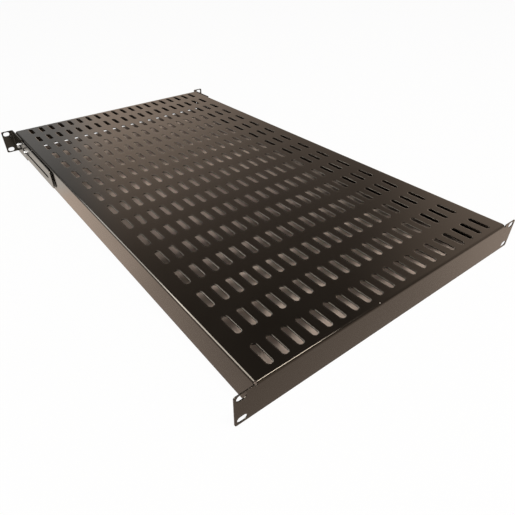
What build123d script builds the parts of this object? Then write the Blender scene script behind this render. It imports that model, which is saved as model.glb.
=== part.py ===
from build123d import *
import os

# A one-unit vented rack shelf with adjustable rear brackets.
#
# One sheet of steel is slotted and folded into a shallow pan whose front flange
# carries the rack ears. A bracket on each side slides along two screws and reaches
# back to the rear rails.
#
# Millimetres. X runs to the right seen from the front, Y to the back of the rack
# and Z up. The origin is the centre of the four front rack holes, on the rear face
# of the front ears, which is the face that seats on the rails.

os.makedirs("parts", exist_ok=True)

# Height, as 19-inch equipment has it
rack_unit_height = 44.45
unit_gap = 0.45  # the pan is this much lower than the unit
hole_margin = 6.35  # centre of a rack hole to the edge of the unit

# Pan
sheet = 1.2  # thickness of its steel
pan_width = 434.0  # over the side flanges
pan_depth = 800.0  # over the front and rear flanges
rear_gap = 6.0  # the rear flange ends this far above the side flanges' lower edges
bend_radius = 3.0  # outside of every fold of the pan
relief_length = 4.0  # how far each side fold stops short of the front and rear faces
relief_depth = 4.0  # depth of the slits that free the ears from the front fold
corner_gap = 0.4  # between the ends of the side flanges and the flanges they meet

# Front and rear rack ears
ear_width = 24.3  # out of the pan's side, so that both ears span 482.6
ear_drop = 0.8  # the ears are this much lower than the pan
ear_corner = 2.5  # rounding of their free corners
hole_edge = 8.75  # centre of a rack hole to the ear's outer edge, for holes 465.1 apart
rack_slot_length = 12.0  # each rack hole is a slot, so that it finds the rail's thread
rack_slot_width = 8.0

# Vents in the deck
vent_length = 30.0
vent_width = 7.0
vent_pitch_x = 20.0
vent_pitch_y = 50.0
vent_side_margin = 20.0  # least distance of a vent from the pan's sides
vent_end_margin = 10.0  # least distance of a vent from the pan's front and rear faces

# Rear brackets
bracket_sheet = 1.5  # thickness of their steel
bracket_bend = 3.5  # outside of the fold between arm and ear
root_length = 68.0  # full-height stretch next to the ear
arm_step = 4.0  # the rest of the arm is this much narrower, above and below
arm_reach = 238.0  # front end of the arm to the rear face of the ear
arm_nose = 8.0  # rounding of the arm's front corners
step_rounding = 2.0  # inside corners where the arm gets narrower
ear_behind_pan = 11.0  # front face of the ear behind the rear flange, pushed right in

# Fasteners that carry each bracket
screw_diameter = 5.0
screw_length = 16.0
screw_tip_chamfer = 0.6
head_diameter = 9.5
head_height = 3.7
head_rounding = 2.4
recess_span = 5.0  # cross recess in the screw's head
recess_width = 1.1
recess_depth = 2.0
recess_taper = 4.0  # degrees
washer_diameter = 10.0
washer_thickness = 1.0
spacer_diameter = 12.0
spacer_thickness = 1.6  # keeps the arm off the side flange
lock_washer_diameter = 9.2
lock_washer_thickness = 1.2
lock_washer_clearance = 0.15
lock_washer_split = 0.8
lock_washer_slant = 30.0  # degrees between the split and the radius
nut_flats = 8.0
nut_height = 4.7
hole_clearance = 0.3  # round a screw, in its flange, slot and washers
thread_clearance = 0.05  # round a screw in its nut
screw_spacing = 50.0  # between the two screws of a side
screw_inset = 20.0  # rear screw to the rear face of the pan
screw_drop = 1.2  # screws and slot sit this far under the middle of the arm
slot_front_web = 20.0  # arm left in front of its slot

# Places that follow from the sizes
pan_height = rack_unit_height - unit_gap
hole_rise = rack_unit_height - 2 * hole_margin
ear_height = pan_height - ear_drop
ear_span = pan_width + 2 * ear_width
hole_span = ear_span - 2 * hole_edge
front_y = -sheet
rear_y = front_y + pan_depth
middle_y = (front_y + rear_y) / 2
deck_z = pan_height / 2
foot_z = -pan_height / 2
side_x = pan_width / 2
fold_x = side_x - bend_radius
front_fold_y = front_y + bend_radius
rear_fold_y = rear_y - bend_radius
fold_z = deck_z - bend_radius
slit_z = deck_z - relief_depth
side_fold_front_y = front_y + relief_length
side_fold_rear_y = rear_y - relief_length
vent_columns = int((pan_width - 2 * vent_side_margin - vent_width) // vent_pitch_x) + 1
vent_rows = int((pan_depth - 2 * vent_end_margin - vent_length) // vent_pitch_y) + 1
arm_inner_x = side_x + spacer_thickness
arm_outer_x = arm_inner_x + bracket_sheet
arm_height = ear_height - 2 * arm_step
ear_front_y = rear_y + ear_behind_pan
ear_rear_y = ear_front_y + bracket_sheet
root_front_y = ear_rear_y - root_length
arm_front_y = ear_rear_y - arm_reach
rear_screw_y = rear_y - screw_inset
front_screw_y = rear_screw_y - screw_spacing
screw_z = -screw_drop
screw_hole = screw_diameter + 2 * hole_clearance
slot_front_y = arm_front_y + slot_front_web
slot_rear_y = rear_screw_y + screw_hole / 2
head_seat_x = arm_outer_x + washer_thickness
nut_seat_x = side_x - sheet - lock_washer_thickness


def across(y):
    """Plane square to Y at y: sketch x is X and sketch y is Z."""
    return Plane(origin=(0, y, 0), x_dir=(1, 0, 0), z_dir=(0, -1, 0))


def along(x):
    """Plane square to X at x: sketch x is Y and sketch y is Z."""
    return Plane(origin=(x, 0, 0), x_dir=(0, 1, 0), z_dir=(1, 0, 0))


# The pan: deck, four folds, side flanges, front flange with its ears, rear flange
with BuildPart() as shelf_pan:
    with BuildSketch(Plane.XY.offset(deck_z)) as deck:
        with Locations((0, middle_y)):
            Rectangle(2 * fold_x, rear_fold_y - front_fold_y)
    extrude(amount=-sheet)

    with BuildSketch(across(side_fold_rear_y)) as side_folds:
        for middle_x, start_angle in ((fold_x, 0), (-fold_x, 90)):
            with BuildLine():
                outside = CenterArc((middle_x, fold_z), bend_radius, start_angle, 90)
                inside = CenterArc((middle_x, fold_z), bend_radius - sheet, start_angle, 90)
                Line(outside @ 0, inside @ 0)
                Line(outside @ 1, inside @ 1)
            make_face()
    extrude(amount=side_fold_rear_y - side_fold_front_y)

    with BuildSketch(along(-fold_x)) as front_and_rear_folds:
        for middle, start_angle in ((rear_fold_y, 0), (front_fold_y, 90)):
            with BuildLine():
                outside = CenterArc((middle, fold_z), bend_radius, start_angle, 90)
                inside = CenterArc((middle, fold_z), bend_radius - sheet, start_angle, 90)
                Line(outside @ 0, inside @ 0)
                Line(outside @ 1, inside @ 1)
            make_face()
    extrude(amount=2 * fold_x)

    flange_front_y = corner_gap
    flange_rear_y = rear_y - sheet - corner_gap
    for side in (-1, 1):
        with BuildSketch(along(side * side_x)) as side_flange:
            with Locations((flange_front_y, foot_z)):
                Rectangle(flange_rear_y - flange_front_y, slit_z - foot_z, align=Align.MIN)
            with Locations((side_fold_front_y, foot_z)):
                Rectangle(side_fold_rear_y - side_fold_front_y, fold_z - foot_z, align=Align.MIN)
            with Locations((front_screw_y, screw_z), (rear_screw_y, screw_z)):
                Circle(screw_hole / 2, mode=Mode.SUBTRACT)
        extrude(amount=-side * sheet)

    with BuildSketch(across(0)) as front_flange:
        with Locations((0, foot_z)):
            Rectangle(ear_span, ear_height, align=(Align.CENTER, Align.MIN))
        fillet(front_flange.vertices(), ear_corner)
        with Locations((0, fold_z)):
            Rectangle(pan_width, bend_radius, align=(Align.CENTER, Align.MIN), mode=Mode.SUBTRACT)
        with Locations((-side_x, slit_z), (fold_x, slit_z)):
            Rectangle(bend_radius, relief_depth, align=Align.MIN, mode=Mode.SUBTRACT)
        with GridLocations(hole_span, hole_rise, 2, 2):
            SlotOverall(rack_slot_length, rack_slot_width, mode=Mode.SUBTRACT)
    extrude(amount=sheet)

    with BuildSketch(across(rear_y)) as rear_flange:
        rear_foot_z = foot_z + rear_gap
        with Locations((0, rear_foot_z)):
            Rectangle(pan_width, fold_z - rear_foot_z, align=(Align.CENTER, Align.MIN))
        with Locations((-side_x, slit_z), (fold_x, slit_z)):
            Rectangle(bend_radius, relief_depth, align=Align.MIN, mode=Mode.SUBTRACT)
    extrude(amount=sheet)

    with BuildSketch(Plane.XY.offset(deck_z)) as vents:
        with Locations((0, middle_y)):
            with GridLocations(vent_pitch_x, vent_pitch_y, vent_columns, vent_rows):
                SlotOverall(vent_length, vent_width, rotation=90)
    extrude(amount=-sheet, mode=Mode.SUBTRACT)

# The left rear bracket: an arm with a long slot, folded out into a rack ear
with BuildPart() as rear_bracket_left:
    with BuildSketch(Plane.XY.offset(-ear_height / 2)) as folded_edge:
        with BuildLine():
            Polyline(
                (-arm_inner_x, arm_front_y),
                (-arm_inner_x, ear_rear_y),
                (-ear_span / 2, ear_rear_y),
                (-ear_span / 2, ear_front_y),
                (-arm_outer_x, ear_front_y),
                (-arm_outer_x, arm_front_y),
                close=True,
            )
        make_face()
        outside_corner = folded_edge.vertices().sort_by_distance((-arm_inner_x, ear_rear_y, 0))[0]
        fillet(outside_corner, bracket_bend)
        inside_corner = folded_edge.vertices().sort_by_distance((-arm_outer_x, ear_front_y, 0))[0]
        fillet(inside_corner, bracket_bend - bracket_sheet)
    extrude(amount=ear_height)

    with BuildSketch(along(-arm_outer_x)) as arm_cuts:
        for side in (-1, 1):
            with Locations((arm_front_y, side * (ear_height + arm_height) / 4)):
                Rectangle(root_front_y - arm_front_y, arm_step, align=(Align.MIN, Align.CENTER))
        with Locations(((slot_front_y + slot_rear_y) / 2, screw_z)):
            SlotOverall(slot_rear_y - slot_front_y, screw_hole)
    extrude(amount=bracket_sheet, mode=Mode.SUBTRACT)

    with BuildSketch(across(ear_rear_y)) as rack_slots:
        with Locations((-hole_span / 2, hole_rise / 2), (-hole_span / 2, -hole_rise / 2)):
            SlotOverall(rack_slot_length, rack_slot_width)
    extrude(amount=bracket_sheet, mode=Mode.SUBTRACT)

    # The short edges through the arm's thickness, from the front: two at the nose
    through_arm = rear_bracket_left.edges().filter_by(Axis.X).filter_by(GeomType.LINE)
    nose_edges = through_arm.group_by(Axis.Y)[0]
    fillet(nose_edges, arm_nose)
    at_the_step = rear_bracket_left.edges().filter_by(Axis.X).group_by(
        lambda edge: round(abs(edge.center().Y - root_front_y), 3)
    )[0]
    inner_corners = at_the_step.filter_by_position(Axis.Z, -arm_height / 2, arm_height / 2)
    fillet(inner_corners, step_rounding)
    ear_corners = rear_bracket_left.edges().filter_by(Axis.Y).group_by(Axis.X)[0]
    fillet(ear_corners, ear_corner)

# The right rear bracket is its mirror image
with BuildPart() as rear_bracket_right:
    add(mirror(rear_bracket_left.part, about=Plane.YZ, mode=Mode.PRIVATE))

# Each fastener piece is drawn about the X axis, as on the right side of the pan
with BuildPart() as bracket_screw:
    head_top_x = head_seat_x + head_height
    tip_x = head_seat_x - screw_length
    with BuildSketch(Plane.XY) as half_screw:
        with BuildLine():
            Polyline(
                (tip_x, 0),
                (head_top_x, 0),
                (head_top_x, head_diameter / 2),
                (head_seat_x, head_diameter / 2),
                (head_seat_x, screw_diameter / 2),
                (tip_x + screw_tip_chamfer, screw_diameter / 2),
                (tip_x, screw_diameter / 2 - screw_tip_chamfer),
                close=True,
            )
        make_face()
        crown_edge = half_screw.vertices().sort_by_distance((head_top_x, head_diameter / 2, 0))[0]
        fillet(crown_edge, head_rounding)
    revolve(axis=Axis.X)
    with BuildSketch(along(head_top_x)) as cross_recess:
        Rectangle(recess_span, recess_width)
        Rectangle(recess_width, recess_span)
    extrude(amount=-recess_depth, taper=recess_taper, mode=Mode.SUBTRACT)

with BuildPart() as bracket_washer:
    with BuildSketch(along(arm_outer_x)) as washer_ring:
        Circle(washer_diameter / 2)
        Circle(screw_hole / 2, mode=Mode.SUBTRACT)
    extrude(amount=washer_thickness)

with BuildPart() as bracket_spacer:
    with BuildSketch(along(side_x)) as spacer_ring:
        Circle(spacer_diameter / 2)
        Circle(screw_hole / 2, mode=Mode.SUBTRACT)
    extrude(amount=spacer_thickness)

with BuildPart() as lock_washer:
    with BuildSketch(along(side_x - sheet)) as split_ring:
        Circle(lock_washer_diameter / 2)
        Circle(screw_diameter / 2 + lock_washer_clearance, mode=Mode.SUBTRACT)
        with Locations(((lock_washer_diameter + screw_diameter) / 4, 0)):
            split_length = lock_washer_diameter / 2
            Rectangle(split_length, lock_washer_split, rotation=lock_washer_slant, mode=Mode.SUBTRACT)
    extrude(amount=-lock_washer_thickness)

with BuildPart() as lock_nut:
    with BuildSketch(along(nut_seat_x)) as hexagon:
        RegularPolygon(nut_flats / 2, 6, major_radius=False)
        Circle(screw_diameter / 2 + thread_clearance, mode=Mode.SUBTRACT)
    extrude(amount=-nut_height)

# The three sheet-metal pieces
shelf_pan.part.label = "shelf_pan"
export_step(shelf_pan.part, "parts/shelf_pan.step")
rear_bracket_left.part.label = "rear_bracket_left"
export_step(rear_bracket_left.part, "parts/rear_bracket_left.step")
rear_bracket_right.part.label = "rear_bracket_right"
export_step(rear_bracket_right.part, "parts/rear_bracket_right.step")

# Two sets of fasteners on each side
fastener_set = {
    "bracket_screw": bracket_screw,
    "bracket_washer": bracket_washer,
    "bracket_spacer": bracket_spacer,
    "lock_washer": lock_washer,
    "lock_nut": lock_nut,
}
for side_name, turn in (("right", 0), ("left", 180)):
    for place_name, screw_y in (("front", front_screw_y), ("rear", rear_screw_y)):
        seat = Location((0, screw_y, screw_z), (0, 0, turn))
        for piece_name, model in fastener_set.items():
            with BuildPart() as fastener:
                add(model.part.moved(seat))
            fastener.part.label = f"{piece_name}_{side_name}_{place_name}"
            export_step(fastener.part, f"parts/{fastener.part.label}.step")
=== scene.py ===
"""The looks of a vented rack shelf with sliding rear brackets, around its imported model."""
import logging
import math
from dataclasses import dataclass
from enum import Enum

import bpy
from mathutils import Matrix, Quaternion, Vector


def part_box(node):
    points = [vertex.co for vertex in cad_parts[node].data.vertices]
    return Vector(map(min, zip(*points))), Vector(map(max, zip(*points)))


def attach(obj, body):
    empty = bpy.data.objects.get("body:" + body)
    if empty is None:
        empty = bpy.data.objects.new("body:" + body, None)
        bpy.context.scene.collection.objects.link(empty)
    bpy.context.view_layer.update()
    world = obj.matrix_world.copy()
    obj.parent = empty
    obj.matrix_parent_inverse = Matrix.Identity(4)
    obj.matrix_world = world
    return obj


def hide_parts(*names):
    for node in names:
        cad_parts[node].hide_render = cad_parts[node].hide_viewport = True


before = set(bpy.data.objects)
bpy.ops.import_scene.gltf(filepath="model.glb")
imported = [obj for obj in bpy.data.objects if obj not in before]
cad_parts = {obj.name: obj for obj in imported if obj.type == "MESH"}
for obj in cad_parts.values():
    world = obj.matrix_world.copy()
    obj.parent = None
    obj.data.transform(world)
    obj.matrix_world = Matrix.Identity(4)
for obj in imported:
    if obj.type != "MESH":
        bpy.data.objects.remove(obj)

Colour = tuple[float, float, float]
Point = tuple[float, float, float]
Socket = bpy.types.NodeSocket
Value = float | Socket
Stops = tuple[tuple[float, float], ...]

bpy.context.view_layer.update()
MM = 0.001
WHITE: Colour = (1.0, 1.0, 1.0)
CREAM: Colour = (1.0, 0.79, 0.64)
ALONG_X: Point = (1.0, 0.0, 0.0)
ALONG_Y: Point = (0.0, 1.0, 0.0)
NOISE_SPAN = (0.3, 0.7)
NOISE_ROUGHNESS = 0.55

log = logging.getLogger("rack_shelf")


class Side(Enum):
    """The two sides of the shelf, seen from the front of the rack."""

    LEFT = "left"
    RIGHT = "right"

    @property
    def sign(self) -> int:
        """-1 on the left and 1 on the right, as X runs."""
        return -1 if self is Side.LEFT else 1


class Place(Enum):
    """The two screws of a side."""

    FRONT = "front"
    REAR = "rear"


class Slot(Enum):
    """The record's material slots."""

    PAINT = "black_powder_coat"
    ZINC = "zinc_steel"


@dataclass(frozen=True)
class Step:
    """A smooth step between two places, with the levels before the first and after the second."""

    start: float
    end: float
    before: float
    after: float


def rgba(colour: Colour) -> tuple[float, float, float, float]:
    """Returns the colour with full opacity."""
    return (*colour, 1.0)


class NodeGraph:
    """Adds shader nodes to one node tree and joins them."""

    def __init__(self, tree: bpy.types.NodeTree) -> None:
        """Empties the tree.

        Args:
            tree: the node tree of a material or world.
        """
        self.tree = tree
        tree.nodes.clear()

    def add(self, kind: str, inputs: dict | None = None, **settings: object) -> bpy.types.Node:
        """Adds a node.

        Args:
            kind: the node's type, without the words ShaderNode in front.
            inputs: values or output sockets for the inputs, by name or number.
            settings: the node's own properties.

        Returns:
            The new node.
        """
        node = self.tree.nodes.new("ShaderNode" + kind)
        for name, value in settings.items():
            setattr(node, name, value)
        for name, value in (inputs or {}).items():
            if isinstance(value, Socket):
                self.tree.links.new(value, node.inputs[name])
            else:
                node.inputs[name].default_value = value
        return node

    def math(self, operation: str, *values: Value) -> Socket:
        """Adds a Math node.

        Args:
            operation: its operation, such as MULTIPLY.
            values: numbers or output sockets, in order.

        Returns:
            Its output socket.
        """
        return self.add("Math", dict(enumerate(values)), operation=operation).outputs[0]

    def product(self, first: Socket, *factors: Value) -> Socket:
        """Multiplies a socket by all factors, one after the other.

        Args:
            first: the socket.
            factors: numbers or output sockets.

        Returns:
            The product's socket.
        """
        result = first
        for factor in factors:
            result = self.math("MULTIPLY", result, factor)
        return result

    def vector(self, operation: str, first: Value, second: Value | Point | None = None) -> Socket:
        """Adds a Vector Math node that gives a vector.

        Args:
            operation: its operation. SCALE takes a number or value socket in second.
            first: the first vector or its socket.
            second: the second one, where the operation has one.

        Returns:
            Its vector socket.
        """
        inputs = {0: first}
        if second is not None:
            inputs["Scale" if operation == "SCALE" else 1] = second
        return self.add("VectorMath", inputs, operation=operation).outputs[0]

    def mix(self, share: Socket, first: object, second: object) -> Socket:
        """Mixes two colours.

        Args:
            share: share of the second colour.
            first: the first colour with its opacity, or its socket.
            second: the second one.

        Returns:
            The mixed colour's socket.
        """
        return self.add("Mix", {"Factor": share, 6: first, 7: second}, data_type="RGBA").outputs[2]

    def noise(self, where: Socket, size: float, detail: float = 2.0) -> Socket:
        """Adds a noise whose features have a real size.

        Args:
            where: the coordinates.
            size: size of one feature in metres.
            detail: octaves of finer noise.

        Returns:
            The noise's value socket, from 0 to 1.
        """
        inputs = {"Vector": where, "Scale": 1.0 / size, "Detail": detail,
                  "Roughness": NOISE_ROUGHNESS}
        return self.add("TexNoise", inputs).outputs[0]

    def step(self, value: Socket, step: Step) -> Socket:
        """Turns a value into the level that a smooth step has there.

        Args:
            value: the socket that runs across the step.
            step: the step.

        Returns:
            The level's socket.
        """
        inputs = {"Value": value, 1: step.start, 2: step.end, 3: step.before, 4: step.after}
        return self.add("MapRange", inputs, interpolation_type="SMOOTHSTEP").outputs[0]

    def share(self, value: Socket, start: float, end: float) -> Socket:
        """Maps a span evenly to 0 to 1.

        Args:
            value: the socket to map.
            start: value that becomes 0.
            end: value that becomes 1.

        Returns:
            The share's socket.
        """
        return self.add("MapRange", {"Value": value, 1: start, 2: end}).outputs[0]

    def ramp(self, value: Socket, stops: Stops, interpolation: str = "EASE") -> Socket:
        """Adds a ramp of grey levels.

        Args:
            value: the socket that runs along the ramp, from 0 to 1.
            stops: pairs of position and level.
            interpolation: how the ramp goes from stop to stop.

        Returns:
            The ramp's colour socket.
        """
        node = self.add("ValToRGB", {0: value})
        node.color_ramp.interpolation = interpolation
        elements = node.color_ramp.elements
        for index, (position, level) in enumerate(stops):
            element = elements[index] if index < len(elements) else elements.new(position)
            element.position = position
            element.color = rgba((level, level, level))
        return node.outputs[0]

    def coordinates(self, output: str) -> tuple[Socket, Socket, Socket]:
        """Adds texture coordinates and takes them apart.

        Args:
            output: which coordinates, such as Object.

        Returns:
            The sockets of X, Y and Z.
        """
        where = self.add("TexCoord").outputs[output]
        x, y, z = self.add("SeparateXYZ", {0: where}).outputs
        return x, y, z

    def seen_directly(self) -> Socket:
        """Adds a value of 1 where the camera looks straight or through glass, and 0 elsewhere.

        Returns:
            The value's socket.
        """
        path = self.add("LightPath").outputs
        return self.math("MAXIMUM", path["Is Camera Ray"], path["Is Transmission Ray"])


@dataclass(frozen=True)
class PowderCoat:
    """Semi-gloss powder coat on sheet steel, with its orange peel and rounded edges.

    The rims of the vents are sharp in the mesh. The paint gets its soft shoulder there in the shading, by a
    lean of the normal that depends on the distance from the rim.
    """

    name: str = "powder_coat"
    colour: Colour = (0.0050, 0.0045, 0.0039)
    worn_colour: Colour = (0.0085, 0.0077, 0.0067)
    roughness: float = 0.13
    roughness_spread: float = 0.04
    refraction: float = 1.5
    tint: Colour = (1.0, 0.90, 0.78)
    cloud_size: float = 60 * MM
    peel_size: float = 1.1 * MM
    peel_height: float = 0.010 * MM
    grain_size: float = 0.25 * MM
    grain_share: float = 0.35
    edge_radius: float = 0.3 * MM
    edge_samples: int = 6
    vent_pitch: tuple[float, float] = (20 * MM, 50 * MM)
    vent_size: tuple[float, float] = (7 * MM, 30 * MM)
    vent_row_middle: float = 23.8 * MM
    vent_field: Point = (199 * MM, 797 * MM, 21.9 * MM)
    shoulder: float = 0.8 * MM
    shoulder_lean: Stops = ((0.0, 0.95), (0.18, 0.84), (0.70, 0.60), (0.88, 0.30), (1.0, 0.0))
    full_lean_degrees: float = 60.0
    end_lean: float = 0.3
    chip: Point = (-43.0 * MM, 1.2 * MM, 22.0 * MM)
    chip_size: float = 0.7 * MM
    chip_core: float = 0.7
    chip_colour: Colour = (0.55, 0.53, 0.50)

    def from_vent(self, graph: NodeGraph, x: Socket, y: Socket) -> Socket:
        """Adds the offset of a point from the middle line of its vent, between the vent's two round ends.

        Args:
            graph: the material's graph.
            x: the point's X.
            y: the point's Y.

        Returns:
            The offset's vector socket, level.
        """
        pitch_x, pitch_y = self.vent_pitch
        width, length = self.vent_size
        across = graph.math("SUBTRACT", graph.math("WRAP", x, pitch_x, 0.0), pitch_x / 2)
        from_row = graph.math("SUBTRACT", y, self.vent_row_middle - pitch_y / 2)
        along = graph.math("SUBTRACT", graph.math("WRAP", from_row, pitch_y, 0.0), pitch_y / 2)
        past_line = graph.math("SUBTRACT", graph.math("ABSOLUTE", along), (length - width) / 2)
        beyond = graph.product(graph.math("MAXIMUM", past_line, 0.0), graph.math("SIGN", along))
        return graph.add("CombineXYZ", {0: across, 1: beyond, 2: 0.0}).outputs[0]

    def on_deck(self, graph: NodeGraph, x: Socket, y: Socket, z: Socket) -> Socket:
        """Adds a value of 1 on the vented part of the deck's top face, and 0 elsewhere.

        Args:
            graph: the material's graph.
            x: the point's X.
            y: the point's Y.
            z: the point's Z.

        Returns:
            The value's socket.
        """
        half_width, rear, top = self.vent_field
        inside = graph.math("LESS_THAN", graph.math("ABSOLUTE", x), half_width)
        return graph.product(inside, graph.math("GREATER_THAN", z, top), graph.math("LESS_THAN", y, rear))

    def vent_shoulder(self, graph: NodeGraph) -> Socket:
        """Adds the lean of the paint where it rolls over the rims of the vents, less at the vents' ends.

        Args:
            graph: the material's graph.

        Returns:
            A vector socket to add to the upright normal, zero away from the rims.
        """
        x, y, z = graph.coordinates("Object")
        offset = self.from_vent(graph, x, y)
        reach = graph.add("VectorMath", {0: offset}, operation="LENGTH").outputs["Value"]
        rim = self.vent_size[0] / 2
        lean = graph.ramp(graph.share(reach, rim, rim + self.shoulder), self.shoulder_lean, "LINEAR")
        lean = graph.math("TANGENT", graph.product(lean, math.radians(self.full_lean_degrees)))
        inwards = graph.product(lean, self.on_deck(graph, x, y, z), -1.0)
        leaning = graph.vector("SCALE", graph.vector("NORMALIZE", offset), inwards)
        return graph.vector("MULTIPLY", leaning, (1.0, self.end_lean, 1.0))

    def material(self) -> bpy.types.Material:
        """Builds the material.

        Returns:
            A new material.
        """
        material = bpy.data.materials.new(self.name)
        material.use_nodes = True
        graph = NodeGraph(material.node_tree)
        where = graph.add("TexCoord").outputs["Object"]
        clouds = graph.noise(where, self.cloud_size, detail=3.0)
        least_rough = self.roughness - self.roughness_spread / 2
        rough = graph.step(clouds, Step(*NOISE_SPAN, least_rough, least_rough + self.roughness_spread))
        shade = graph.mix(clouds, rgba(self.colour), rgba(self.worn_colour))
        reach = graph.add("VectorMath", {0: where, 1: self.chip}, operation="DISTANCE").outputs["Value"]
        bare = graph.step(reach, Step(self.chip_size * self.chip_core, self.chip_size, 1.0, 0.0))
        shade = graph.mix(bare, shade, rgba(self.chip_colour))
        grain = graph.product(graph.noise(where, self.grain_size), self.grain_share)
        height = graph.math("ADD", graph.noise(where, self.peel_size, detail=1.0), grain)
        rounded = graph.add("Bevel", {"Radius": self.edge_radius}, samples=self.edge_samples).outputs[0]
        leaning = graph.vector("NORMALIZE", graph.vector("ADD", rounded, self.vent_shoulder(graph)))
        bump = graph.add("Bump", {
            "Strength": 1.0, "Distance": self.peel_height, "Height": height, "Normal": leaning,
        })
        paint = graph.add("BsdfPrincipled", {
            "Base Color": shade, "Roughness": rough, "IOR": self.refraction, "Normal": bump.outputs[0],
            "Specular Tint": rgba(self.tint),
        })
        graph.add("OutputMaterial", {"Surface": paint.outputs[0]})
        return material


@dataclass(frozen=True)
class ZincPlate:
    """Bright zinc plating, with a fine grain from the barrel that the parts were plated in."""

    name: str = "zinc_plate"
    colour: Colour = (0.56, 0.57, 0.58)
    dull_colour: Colour = (0.36, 0.37, 0.38)
    roughness: float = 0.28
    roughness_spread: float = 0.12
    mottle_size: float = 1.6 * MM
    scratch_size: float = 0.3 * MM
    scratch_height: float = 0.006 * MM
    edge_radius: float = 0.15 * MM
    edge_samples: int = 4

    def material(self) -> bpy.types.Material:
        """Builds the material.

        Returns:
            A new material.
        """
        material = bpy.data.materials.new(self.name)
        material.use_nodes = True
        graph = NodeGraph(material.node_tree)
        where = graph.add("TexCoord").outputs["Object"]
        mottle = graph.noise(where, self.mottle_size, detail=3.0)
        shade = graph.mix(mottle, rgba(self.colour), rgba(self.dull_colour))
        rough = graph.step(mottle, Step(*NOISE_SPAN, self.roughness, self.roughness + self.roughness_spread))
        rounded = graph.add("Bevel", {"Radius": self.edge_radius}, samples=self.edge_samples).outputs[0]
        bump = graph.add("Bump", {
            "Strength": 1.0, "Distance": self.scratch_height,
            "Height": graph.noise(where, self.scratch_size), "Normal": rounded,
        })
        metal = graph.add("BsdfPrincipled", {
            "Base Color": shade, "Metallic": 1.0, "Roughness": rough, "Normal": bump.outputs[0],
        })
        graph.add("OutputMaterial", {"Surface": metal.outputs[0]})
        return material


@dataclass
class Camera:
    """The camera that took the photograph, without its lens distortion."""

    place: Point = (-0.37327, -0.20214, 0.35101)
    target: Point = (-0.11457, 0.14664, 0.022)
    roll_degrees: float = -0.96
    focal_pixels: float = 446.2
    centre_pixels: tuple[float, float] = (246.9, 263.9)
    frame_pixels: float = 515.0
    sensor_mm: float = 36.0
    clip_start: float = 10 * MM

    def build(self) -> bpy.types.Object:
        """Creates the camera and makes it the scene's own.

        Returns:
            The camera object.
        """
        data = bpy.data.cameras.new("photo_camera")
        data.sensor_width = self.sensor_mm
        data.lens = self.focal_pixels / self.frame_pixels * self.sensor_mm
        middle = self.frame_pixels / 2
        data.shift_x = (middle - self.centre_pixels[0]) / self.frame_pixels
        data.shift_y = (self.centre_pixels[1] - middle) / self.frame_pixels
        data.clip_start = self.clip_start
        camera = bpy.data.objects.new("photo_camera", data)
        bpy.context.scene.collection.objects.link(camera)
        line = Vector(self.target) - Vector(self.place)
        level = line.to_track_quat("-Z", "Y")
        roll = Quaternion((0, 0, 1), math.radians(self.roll_degrees))
        camera.matrix_world = Matrix.Translation(self.place) @ (level @ roll).to_matrix().to_4x4()
        bpy.context.scene.camera = camera
        return camera


@dataclass(frozen=True)
class SoftLamp:
    """A softbox that points at the shelf. One for highlights shows in gloss alone."""

    name: str
    place: Point
    length: float
    width: float
    radiance: float
    along: Point = ALONG_X
    highlights_only: bool = False
    colour: Colour = (1.0, 0.94, 0.86)
    target: Point = (-0.05, 0.2, 0.0)

    def build(self) -> None:
        """Creates the lamp, with its length as near to its own direction as its aim allows."""
        data = bpy.data.lights.new(self.name, "AREA")
        data.shape = "RECTANGLE"
        data.size = self.length
        data.size_y = self.width
        data.energy = self.radiance * math.pi * self.length * self.width
        data.color = self.colour
        lamp = bpy.data.objects.new(self.name, data)
        lamp.visible_diffuse = not self.highlights_only
        bpy.context.scene.collection.objects.link(lamp)
        back = (Vector(self.place) - Vector(self.target)).normalized()
        lengthwise = Vector(self.along)
        lengthwise = (lengthwise - back * lengthwise.dot(back)).normalized()
        turn = Matrix((lengthwise, back.cross(lengthwise), back)).transposed().to_4x4()
        lamp.matrix_world = Matrix.Translation(self.place) @ turn


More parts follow.
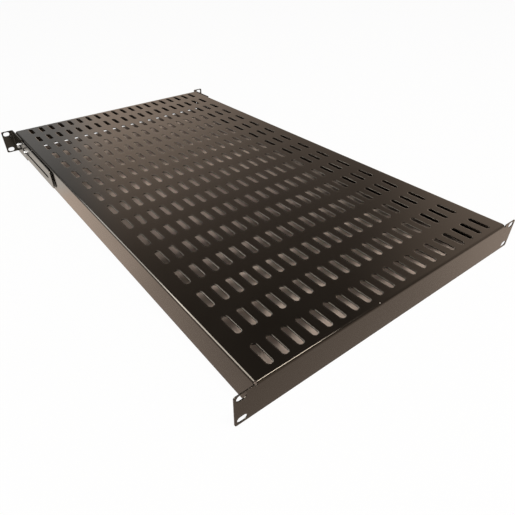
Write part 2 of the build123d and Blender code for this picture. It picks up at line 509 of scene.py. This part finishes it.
@dataclass(frozen=True)
class Floor:
    """The studio's floor: white to the camera, with a soft shadow, and painted shade and glow under the pan.

    Places are in metres, X to the right and Y to the rear.
    """

    size: float = 30.0
    shade: Colour = (0.88, 0.92, 0.98)
    glow: float = 0.95
    near_tint: Colour = CREAM
    far_tint: Colour = (1.0, 0.92, 0.82)
    far_from: Step = Step(0.52, 0.62, 0.0, 1.0)
    gloss_span: tuple[float, float] = (-0.1, 0.9)
    gloss_levels: Stops = ((0.0, 0.78), (0.15, 0.62), (0.30, 0.76), (0.45, 1.03), (0.60, 1.12), (0.8, 0.90),
                           (1.0, 0.55))
    gloss_gain: Step = Step(0.0, 0.26, 1.0, 1.35)
    deck_half_width: float = 217 * MM
    deck_front: float = -1.2 * MM
    deck_rear: float = 798.8 * MM
    hidden_shade: Colour = (0.82, 0.70, 0.63)
    # A painted glow: the floor under the pan emits a little light of its own.
    under_pan_painted_glow: Colour = (0.030, 0.024, 0.020)
    # Painted shade and light under the pan, by place: darker by the right side, from a quarter back and at
    # the rear, lighter from halfway back.
    right_shadow: Step = Step(0.15, 0.205, 0.0, 1.0)
    right_shadow_depth: Step = Step(0.15, 0.35, 0.8, 0.2)
    front_painted_fall: Step = Step(0.17, 0.25, 1.0, 0.58)
    middle_painted_rise: Step = Step(0.40, 0.50, 1.0, 1.55)
    rear_painted_fall: Step = Step(0.735, 0.785, 1.0, 0.3)
    # The painted glow grows from a fifth of the way back to beyond halfway back.
    painted_glow_rise: Step = Step(0.2, 0.6, 1.0, 2.0)

    def gloss(self, graph: NodeGraph, x: Socket, y: Socket) -> Socket:
        """Adds the light that glossy surfaces see in the floor, brightest halfway back and on the right.

        Args:
            graph: the floor's node graph.
            x: the floor's X.
            y: the floor's Y.

        Returns:
            The colour socket.
        """
        level = graph.ramp(graph.share(y, *self.gloss_span), self.gloss_levels)
        tint = graph.mix(graph.step(y, self.far_from), rgba(self.near_tint), rgba(self.far_tint))
        return graph.vector("SCALE", graph.vector("MULTIPLY", tint, level), graph.step(x, self.gloss_gain))

    def open_floor(self, graph: NodeGraph, x: Socket, y: Socket) -> Socket:
        """Adds the shader of the floor around the shelf.

        Args:
            graph: the floor's node graph.
            x: the floor's X.
            y: the floor's Y.

        Returns:
            The shader's socket.
        """
        seen = graph.seen_directly()
        light = graph.mix(seen, self.gloss(graph, x, y), rgba(WHITE))
        plain = graph.add("BsdfDiffuse", {"Color": rgba(self.shade)}).outputs[0]
        bright = graph.add("Emission", {"Color": light}).outputs[0]
        shown = graph.math("MAXIMUM", seen, graph.add("LightPath").outputs["Is Glossy Ray"])
        return graph.add("MixShader", {0: graph.product(shown, self.glow), 1: plain, 2: bright}).outputs[0]

    def under_pan(self, graph: NodeGraph, x: Socket, y: Socket) -> Socket:
        """Adds the shader of the floor that shows through the vents, with painted shade, light and glow.

        Args:
            graph: the floor's node graph.
            x: the floor's X.
            y: the floor's Y.

        Returns:
            The shader's socket.
        """
        # Painted shade and light by place, in the floor's colour and in its glow.
        shadow = graph.product(graph.step(x, self.right_shadow), graph.step(y, self.right_shadow_depth))
        lit = graph.math("SUBTRACT", 1.0, shadow)
        for step in (self.rear_painted_fall, self.front_painted_fall, self.middle_painted_rise):
            lit = graph.product(lit, graph.step(y, step))
        # The emission is a painted glow that stands in for the light under the pan.
        strength = graph.product(lit, graph.step(y, self.painted_glow_rise))
        painted_glow_shader = graph.add("Emission", {"Color": rgba(self.under_pan_painted_glow), "Strength": strength}).outputs[0]
        dull = graph.add("BsdfDiffuse", {"Color": graph.vector("SCALE", self.hidden_shade, lit)}).outputs[0]
        return graph.add("AddShader", {0: dull, 1: painted_glow_shader}).outputs[0]

    def material(self) -> bpy.types.Material:
        """Builds the floor's material.

        Returns:
            A new material.
        """
        material = bpy.data.materials.new("studio_floor")
        material.use_nodes = True
        graph = NodeGraph(material.node_tree)
        x, y, _ = graph.coordinates("Object")
        middle = (self.deck_front + self.deck_rear) / 2
        inside_x = graph.math("LESS_THAN", graph.math("ABSOLUTE", x), self.deck_half_width)
        depth = graph.math("ABSOLUTE", graph.math("SUBTRACT", y, middle))
        inside = graph.product(inside_x, graph.math("LESS_THAN", depth, self.deck_rear - middle))
        # Under the deck's outline the floor takes the painted shade and glow of under_pan.
        shaders = {0: inside, 1: self.open_floor(graph, x, y), 2: self.under_pan(graph, x, y)}
        surface = graph.add("MixShader", shaders).outputs[0]
        graph.add("OutputMaterial", {"Surface": surface})
        return material

    def build(self, height: float) -> None:
        """Adds the floor.

        Args:
            height: its Z, that of the pan's lowest edge.
        """
        bpy.ops.mesh.primitive_plane_add(size=self.size, location=(0, 0, height))
        floor = bpy.context.object
        floor.name = "studio_floor"
        bpy.ops.object.transform_apply(location=True, rotation=True, scale=True)
        floor.data.materials.append(self.material())


@dataclass(frozen=True)
class Room:
    """The studio's room: white to the camera, and dark overhead with two bright walls in what it lights.

    Turns are angles from the right in degrees, the same to the front and to the rear. Heights are the Z of a
    direction, 0 at the horizon and 1 straight up.
    """

    tint: Colour = CREAM
    window: Colour = (1.0, 0.98, 0.95)
    window_turn: Step = Step(70, 79, 0.0, 1.0)
    overhead: Stops = ((0.0, 0.60), (0.34, 0.46), (0.42, 0.34), (0.50, 0.27), (0.60, 0.21), (0.70, 0.11),
                       (1.0, 0.08))
    far_wall_start: Step = Step(46, 72, 0.0, 0.6)
    far_wall_end: Step = Step(71.5, 77.5, 1.0, 0.2)
    far_wall_height: Step = Step(0.34, 0.62, 1.0, 0.12)
    right_wall_turn: Step = Step(20, 38, 0.6, 0.0)
    right_wall_height: Step = Step(0.55, 0.75, 1.0, 0.3)
    left_fall: Step = Step(84, 100, 1.0, 0.35)

    def light(self, graph: NodeGraph) -> Socket:
        """Adds the light of the room as the shelf gets it.

        Args:
            graph: the world's node graph.

        Returns:
            The colour socket.
        """
        x, y, z = graph.coordinates("Generated")
        turn = graph.math("DEGREES", graph.math("ABSOLUTE", graph.math("ARCTAN2", y, x)))
        far_wall = graph.product(graph.step(turn, self.far_wall_start), graph.step(turn, self.far_wall_end),
                                 graph.step(z, self.far_wall_height))
        right_wall = graph.product(graph.step(turn, self.right_wall_turn),
                                   graph.step(z, self.right_wall_height))
        level = graph.math("ADD", graph.ramp(z, self.overhead), graph.math("ADD", far_wall, right_wall))
        level = graph.product(level, graph.step(turn, self.left_fall))
        tint = graph.mix(graph.step(turn, self.window_turn), rgba(self.tint), rgba(self.window))
        return graph.vector("SCALE", tint, level)

    def build(self) -> None:
        """Makes the room the scene's world."""
        world = bpy.data.worlds.new("studio_room")
        bpy.context.scene.world = world
        world.use_nodes = True
        graph = NodeGraph(world.node_tree)
        colour = graph.mix(graph.seen_directly(), self.light(graph), rgba(WHITE))
        background = graph.add("Background", {"Color": colour, "Strength": 1.0}).outputs[0]
        graph.add("OutputWorld", {"Surface": background})


@dataclass
class Studio:
    """Floor, room and softboxes: one that lights, and three for the gloss on the folds and rims."""

    floor: Floor = Floor()
    room: Room = Room()
    lamps: tuple[SoftLamp, ...] = (
        SoftLamp("front_top_softbox", (-0.40, -1.05, 3.25), length=2.4, width=0.8, radiance=18.0),
        SoftLamp("side_fold_highlight", (-1.25, 1.36, 1.45), length=0.90, width=1.70, radiance=10.5,
                 along=ALONG_Y, highlights_only=True, colour=(1.0, 0.97, 0.93), target=(-0.2, 0.3, 0.0)),
        SoftLamp("rear_fold_highlight", (-1.25, 2.40, 1.45), length=1.10, width=1.70, radiance=5.6,
                 along=ALONG_Y, highlights_only=True, colour=(1.0, 0.97, 0.93), target=(-0.2, 0.5, 0.0)),
        SoftLamp("front_fold_highlight", (0.60, -0.28, 1.7), length=0.6, width=0.4, radiance=34.0,
                 highlights_only=True),
    )

    def build(self) -> None:
        """Builds the floor, the room and the lamps."""
        self.floor.build(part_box("shelf_pan")[0].z)
        self.room.build()
        for lamp in self.lamps:
            lamp.build()


def dress(node: str, material: bpy.types.Material) -> None:
    """Gives a CAD node its finish.

    Args:
        node: the node's name.
        material: the material for all its faces.
    """
    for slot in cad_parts[node].material_slots:
        slot.material = material


@dataclass
class SheetMetal:
    """The folded pieces: the pan and both brackets."""

    paint: PowderCoat = PowderCoat()

    def build(self) -> list[str]:
        """Dresses the pieces.

        Returns:
            The nodes' names.
        """
        material = self.paint.material()
        nodes = ["shelf_pan"] + [f"rear_bracket_{side.value}" for side in Side]
        for node in nodes:
            dress(node, material)
        return nodes


class Bench:
    """Steps that every modelled piece goes through."""

    LEVEL_TOLERANCE = 0.001 * MM

    @staticmethod
    def cylinder(name: str, radius: float, bottom: float, top: float, sides: int = 48) -> bpy.types.Object:
        """Adds an upright cylinder on the Z axis.

        Args:
            name: the piece's name.
            radius: its radius.
            bottom: Z of its lower face.
            top: Z of its upper face.
            sides: number of its side faces.

        Returns:
            The new object, the only one selected.
        """
        bpy.ops.object.select_all(action="DESELECT")
        bpy.ops.mesh.primitive_cylinder_add(vertices=sides, radius=radius, depth=top - bottom,
                                            location=(0, 0, (bottom + top) / 2))
        piece = bpy.context.object
        piece.name = name
        bpy.ops.object.transform_apply(location=True, rotation=True, scale=True)
        return piece

    @staticmethod
    def bevel_rim(piece: bpy.types.Object, height: float, offset: float, segments: int) -> None:
        """Rounds the edges that lie flat at one height.

        Args:
            piece: the object, which is the active one.
            height: Z of the edges.
            offset: width of the rounding.
            segments: faces across it.
        """
        bpy.context.tool_settings.mesh_select_mode = (False, True, False)
        bpy.ops.object.mode_set(mode="EDIT")
        bpy.ops.mesh.select_all(action="DESELECT")
        bpy.ops.object.mode_set(mode="OBJECT")
        vertices = piece.data.vertices
        for edge in piece.data.edges:
            heights = [vertices[index].co.z for index in edge.vertices]
            edge.select = all(abs(z - height) < Bench.LEVEL_TOLERANCE for z in heights)
        bpy.ops.object.mode_set(mode="EDIT")
        bpy.ops.mesh.bevel(offset=offset, segments=segments, profile=0.5, affect="EDGES")
        bpy.ops.object.mode_set(mode="OBJECT")

    @staticmethod
    def combine(piece: bpy.types.Object, other: bpy.types.Object, operation: str) -> None:
        """Applies a boolean and removes the other object.

        Args:
            piece: the object that stays.
            other: the object that is joined to it, cut out of it or met with it.
            operation: UNION, DIFFERENCE or INTERSECT.
        """
        bpy.ops.object.select_all(action="DESELECT")
        piece.select_set(True)
        bpy.context.view_layer.objects.active = piece
        modifier = piece.modifiers.new(operation.lower(), "BOOLEAN")
        modifier.operation = operation
        modifier.solver = "EXACT"
        modifier.object = other
        bpy.ops.object.modifier_apply(modifier=modifier.name)
        bpy.data.objects.remove(other)

    @staticmethod
    def smooth(piece: bpy.types.Object, degrees: float = 35.0) -> None:
        """Shades a piece smooth, with its sharp edges kept.

        Args:
            piece: the object.
            degrees: angle from which an edge stays sharp.
        """
        bpy.ops.object.select_all(action="DESELECT")
        piece.select_set(True)
        bpy.context.view_layer.objects.active = piece
        bpy.ops.object.shade_smooth_by_angle(angle=math.radians(degrees))

    @staticmethod
    def seat(master: bpy.types.Object, node: str, side: Side,
             material: bpy.types.Material) -> bpy.types.Object:
        """Copies a master onto the axis of a CAD node, with its Z pointing out of the shelf.

        Args:
            master: the piece, modelled on the Z axis from Z 0, its inner end, outwards.
            node: the CAD node that the copy stands for.
            side: the side of the shelf.
            material: its finish.

        Returns:
            The seated copy.
        """
        low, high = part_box(node)
        inner = Vector((high.x if side is Side.LEFT else low.x, (low.y + high.y) / 2, (low.z + high.z) / 2))
        copy = bpy.data.objects.new(node + "_visual", master.data.copy())
        bpy.context.scene.collection.objects.link(copy)
        copy.data.transform(Matrix.Translation(inner) @ Matrix.Rotation(side.sign * math.pi / 2, 4, "Y"))
        copy.data.materials.clear()
        copy.data.materials.append(material)
        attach(copy, "shelf")
        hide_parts(node)
        return copy


@dataclass
class PanHeadScrew:
    """An M5 by 16 pan-head screw with a cross recess and a cut thread."""

    length: float = 16 * MM
    major: float = 5.0 * MM
    minor: float = 4.1 * MM
    pitch: float = 0.8 * MM
    crest: tuple[float, float] = (0.42, 0.58)
    turn_steps: int = 24
    lead_turns: float = 1.5
    spare_turns: int = 4
    merge_distance: float = 0.002 * MM
    tip_chamfer: float = 0.6 * MM
    tip_clearance: float = 0.01 * MM
    head_diameter: float = 9.5 * MM
    head_height: float = 3.7 * MM
    head_rounding: float = 2.4 * MM
    recess_span: float = 5.0 * MM
    recess_width: float = 1.15 * MM
    recess_depth: float = 2.2 * MM
    recess_narrowing: tuple[float, float] = (0.55, 0.8)

    def tooth(self) -> bpy.types.Object:
        """Models the outline of one tooth beside the axis: root, crest and root, one pitch high.

        Returns:
            The outline, an open line of three edges.
        """
        bpy.ops.object.select_all(action="DESELECT")
        bpy.ops.mesh.primitive_plane_add(size=self.pitch)
        outline = bpy.context.object
        bpy.context.tool_settings.mesh_select_mode = (False, True, False)
        bpy.ops.object.mode_set(mode="EDIT")
        bpy.ops.mesh.select_all(action="DESELECT")
        bpy.ops.object.mode_set(mode="OBJECT")
        edges = {edge.key: edge for edge in outline.data.edges}
        inner = [vertex.index for vertex in outline.data.vertices if vertex.co.x < 0]
        edges[tuple(sorted(inner))].select = True
        bpy.ops.object.mode_set(mode="EDIT")
        bpy.ops.mesh.delete(type="EDGE")
        bpy.ops.object.mode_set(mode="OBJECT")
        crest_low, crest_high = self.crest
        for vertex in outline.data.vertices:
            low = vertex.co.y < 0
            if vertex.co.x < 0:
                vertex.co = (self.minor / 2, 0, 0 if low else self.pitch)
            else:
                vertex.co = (self.major / 2, 0, self.pitch * (crest_low if low else crest_high))
        return outline

    def thread(self) -> bpy.types.Object:
        """Models the threaded shank: one tooth wound up the axis, cut flat and pointed at the tip.

        Returns:
            The shank, from its tip at Z 0 into the head.
        """
        shank = self.tooth()
        winding = shank.modifiers.new("winding", "SCREW")
        winding.axis = "Z"
        winding.steps = winding.render_steps = self.turn_steps
        winding.iterations = int(self.length / self.pitch) + self.spare_turns
        winding.screw_offset = self.pitch
        winding.use_merge_vertices = True
        winding.merge_threshold = self.merge_distance / 2
        bpy.ops.object.modifier_apply(modifier=winding.name)
        bpy.ops.object.mode_set(mode="EDIT")
        bpy.ops.mesh.select_all(action="SELECT")
        bpy.ops.mesh.remove_doubles(threshold=self.merge_distance)
        first = self.lead_turns * self.pitch
        last = first + self.length + self.head_height / 4
        bpy.ops.mesh.bisect(plane_co=(0, 0, first), plane_no=(0, 0, -1), use_fill=True, clear_outer=True)
        bpy.ops.mesh.select_all(action="SELECT")
        bpy.ops.mesh.bisect(plane_co=(0, 0, last), plane_no=(0, 0, 1), use_fill=True, clear_outer=True)
        bpy.ops.mesh.select_all(action="SELECT")
        bpy.ops.mesh.normals_make_consistent(inside=False)
        bpy.ops.transform.translate(value=(0, 0, -first))
        bpy.ops.object.mode_set(mode="OBJECT")
        point = Bench.cylinder("point", self.major / 2 + self.tip_clearance, 0.0, self.length * 2)
        Bench.bevel_rim(point, 0.0, self.tip_chamfer, segments=1)
        Bench.combine(shank, point, "INTERSECT")
        return shank

    def recess(self, top: float) -> bpy.types.Object:
        """Models the driver's tip: two crossed blades that narrow towards their end.

        Args:
            top: Z of the head's top.

        Returns:
            The cutter.
        """
        span_left, width_left = self.recess_narrowing
        blades = []
        for turn in (0.0, math.pi / 2):
            bpy.ops.object.select_all(action="DESELECT")
            bpy.ops.mesh.primitive_cube_add(size=1.0, location=(0, 0, top), rotation=(0, 0, turn))
            blade = bpy.context.object
            blade.scale = (self.recess_span, self.recess_width, 2 * self.recess_depth)
            bpy.ops.object.transform_apply(location=False, rotation=False, scale=True)
            for vertex in blade.data.vertices:
                if vertex.co.z < 0:
                    vertex.co.x *= span_left
                    vertex.co.y *= width_left
            bpy.ops.object.transform_apply(location=True, rotation=True, scale=True)
            blades.append(blade)
        Bench.combine(blades[0], blades[1], "UNION")
        return blades[0]

    def build(self) -> bpy.types.Object:
        """Models the whole screw, with its tip at Z 0.

        Returns:
            The screw.
        """
        top = self.length + self.head_height
        screw = Bench.cylinder("screw_master", self.head_diameter / 2, self.length, top)
        Bench.bevel_rim(screw, top, self.head_rounding, segments=7)
        Bench.combine(screw, self.thread(), "UNION")
        Bench.combine(screw, self.recess(top), "DIFFERENCE")
        Bench.smooth(screw)
        return screw


@dataclass
class CollarNut:
    """A hexagon lock nut with chamfered corners and a collar that grips the thread."""

    flats: float = 8.0 * MM
    height: float = 4.7 * MM
    hexagon_height: float = 3.3 * MM
    collar_diameter: float = 7.0 * MM
    bore: float = 5.1 * MM
    chamfer: float = 0.45 * MM
    collar_rounding: float = 0.7 * MM
    blank_oversize: float = 0.02 * MM
    blank_overlap: float = 0.1 * MM

    def build(self) -> bpy.types.Object:
        """Models the nut, with its collar at Z 0 and its seat at the top.

        Returns:
            The nut.
        """
        corner = self.flats / math.sqrt(3)
        collar_top = self.height - self.hexagon_height
        nut = Bench.cylinder("nut_master", corner, collar_top, self.height, sides=6)
        blank = Bench.cylinder("blank", corner + self.blank_oversize, collar_top - self.blank_overlap,
                               self.height, sides=72)
        Bench.bevel_rim(blank, self.height, self.chamfer, segments=2)
        Bench.combine(nut, blank, "INTERSECT")
        collar = Bench.cylinder("collar", self.collar_diameter / 2, 0.0, collar_top + self.chamfer)
        Bench.bevel_rim(collar, 0.0, self.collar_rounding, segments=4)
        Bench.combine(nut, collar, "UNION")
        Bench.combine(nut, Bench.cylinder("bore", self.bore / 2, -MM, self.height + MM), "DIFFERENCE")
        Bench.smooth(nut)
        return nut


@dataclass
class Fasteners:
    """The screw, washers, spacer and nut at each of the four places."""

    plating: ZincPlate = ZincPlate()
    rings: tuple[str, ...] = ("bracket_washer", "bracket_spacer", "lock_washer")

    def build(self) -> list[str]:
        """Dresses the rings, and models the screws and nuts once each and seats their copies.

        Returns:
            The nodes' names.
        """
        material = self.plating.material()
        masters = {"bracket_screw": PanHeadScrew().build(), "lock_nut": CollarNut().build()}
        nodes = []
        for side in Side:
            for place in Place:
                for kind in self.rings:
                    node = f"{kind}_{side.value}_{place.value}"
                    dress(node, material)
                    nodes.append(node)
                for kind, master in masters.items():
                    node = f"{kind}_{side.value}_{place.value}"
                    Bench.seat(master, node, side, material)
                    nodes.append(node)
        for master in masters.values():
            bpy.data.objects.remove(master)
        return nodes


def main() -> None:
    """Builds the camera, the studio and the finishes in order."""
    logging.basicConfig(level=logging.INFO, format="%(message)s")
    bpy.ops.object.select_all(action="DESELECT")
    bpy.context.scene.view_settings.view_transform = "Standard"
    Camera().build()
    Studio().build()
    for assembly in (SheetMetal(), Fasteners()):
        for node in assembly.build():
            log.info("dressed %s", node)


if __name__ == "__main__":
    main()
